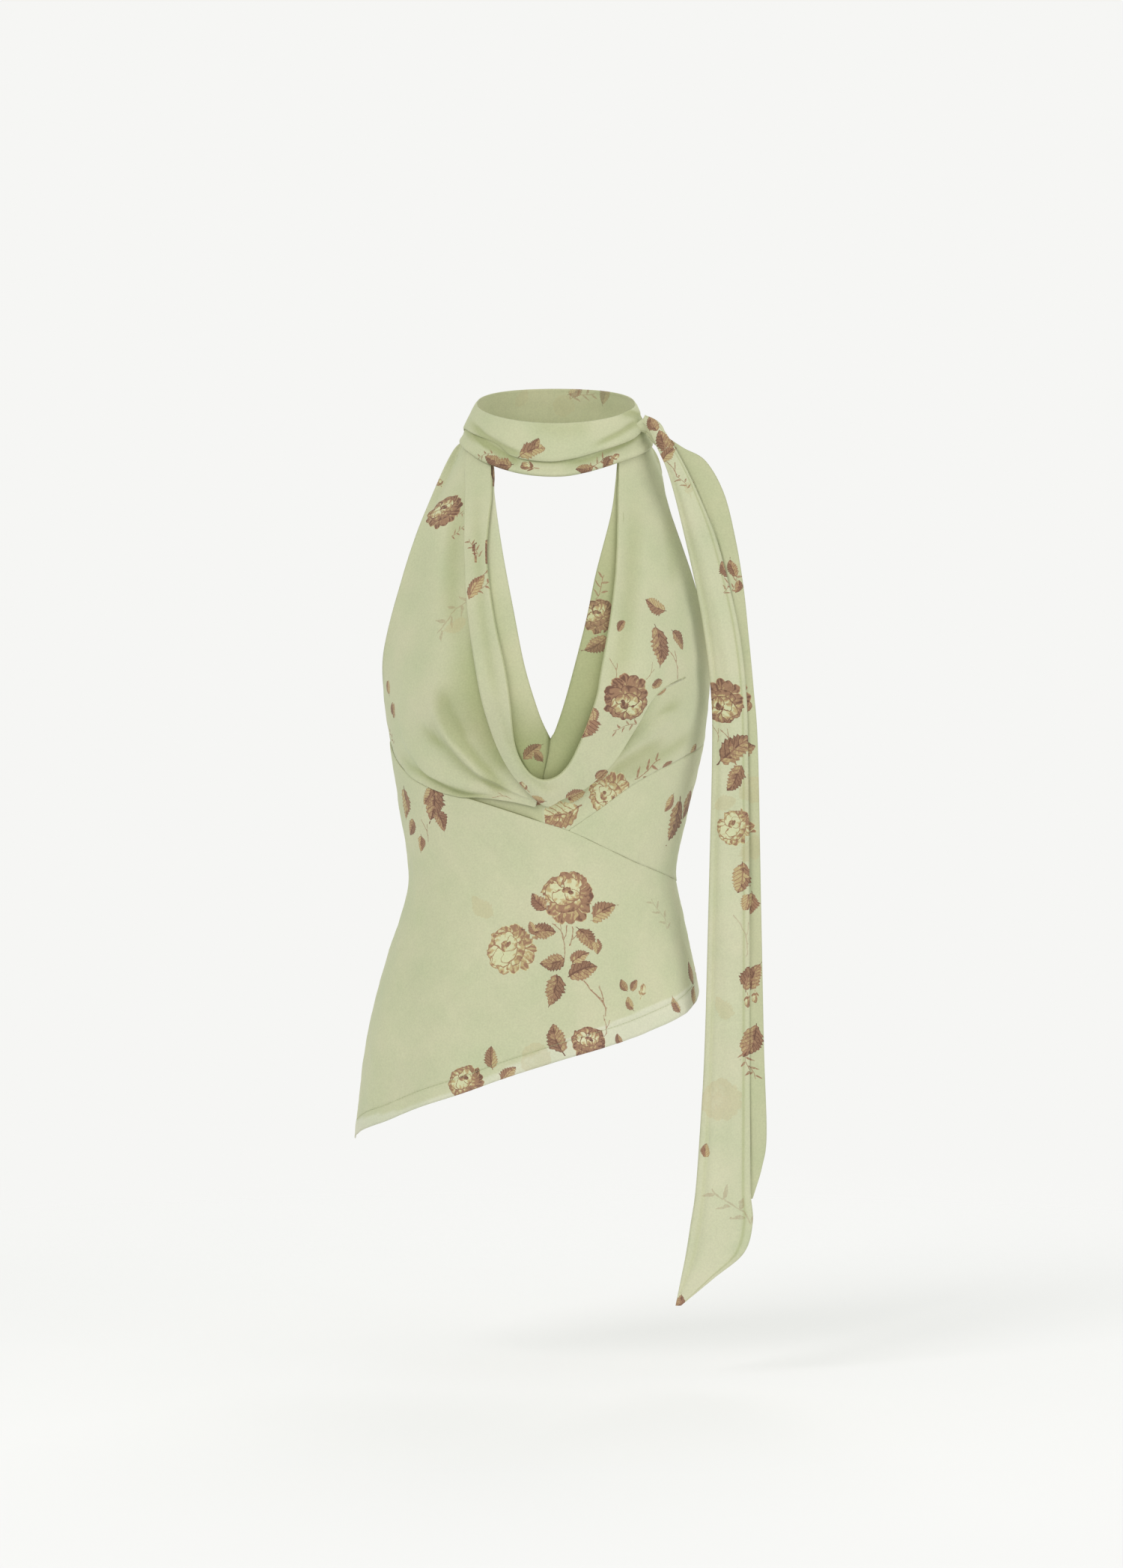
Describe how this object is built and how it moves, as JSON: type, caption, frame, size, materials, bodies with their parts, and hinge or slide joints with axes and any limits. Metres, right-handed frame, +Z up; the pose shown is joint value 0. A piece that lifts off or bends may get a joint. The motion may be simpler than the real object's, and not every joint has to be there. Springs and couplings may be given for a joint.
{
  "type": "cowl neck top",
  "caption": "Sleeveless halter top with a draped cowl front, crossover waist seam, slanting hem, open back and a neck scarf knotted at one side with a long tail.",
  "frame": {"origin": "mount neck_hold: the middle line of the body at the height of the neck opening, inside the scarf ring", "axes": "+Z up along the worn top, the front faces -Y, +X towards the viewer's right when looking at the front"},
  "size_m": [0.3753, 0.2311, 0.8331],
  "materials": {
    "cowl": "matte",
    "front": "matte",
    "facing": "matte",
    "skirt": "matte",
    "back": "matte",
    "scarf": "matte"
  },
  "bodies": {
    "root": {"back_panel": "back", "cowl_drape": "cowl", "facing_left": "facing", "facing_right": "facing", "front_left": "front", "front_right": "front", "midriff_right": "front", "scarf_knot": "scarf", "scarf_lower_wrap": "scarf", "scarf_nape_band": "scarf", "scarf_tail": "scarf", "scarf_tail_under": "scarf", "scarf_upper_wrap": "scarf", "skirt_front": "skirt"}
  },
  "joints": []
}
